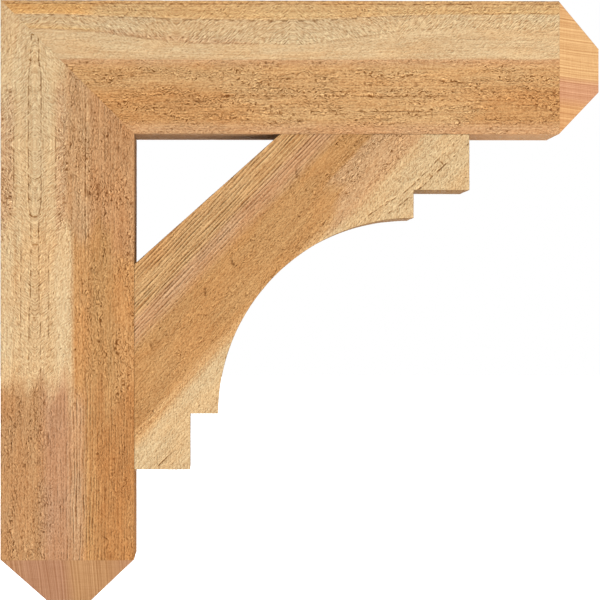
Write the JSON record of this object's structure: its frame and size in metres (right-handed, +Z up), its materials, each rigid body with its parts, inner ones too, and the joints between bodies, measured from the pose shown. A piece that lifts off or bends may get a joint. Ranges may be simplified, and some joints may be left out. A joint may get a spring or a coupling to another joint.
{
  "type": "wooden corbel bracket",
  "caption": "Wooden corbel bracket: a mitred leg and arm of square rough-sawn timber with pyramid-cut tips, stiffened by a stepped, arched brace in the inner corner.",
  "frame": {"origin": "centre of the leg's flat back face, which rests on the wall", "axes": "+X out from the wall along the arm, +Z up towards the arm's flat top, +Y across the timber's thickness"},
  "size_m": [0.4572, 0.1016, 0.4572],
  "materials": {
    "leg_wood": "matte",
    "arm_wood": "matte",
    "brace_wood": "matte"
  },
  "bodies": {
    "root": {"vertical_leg": "leg_wood", "horizontal_arm": "arm_wood", "arched_brace": "brace_wood"}
  },
  "joints": []
}
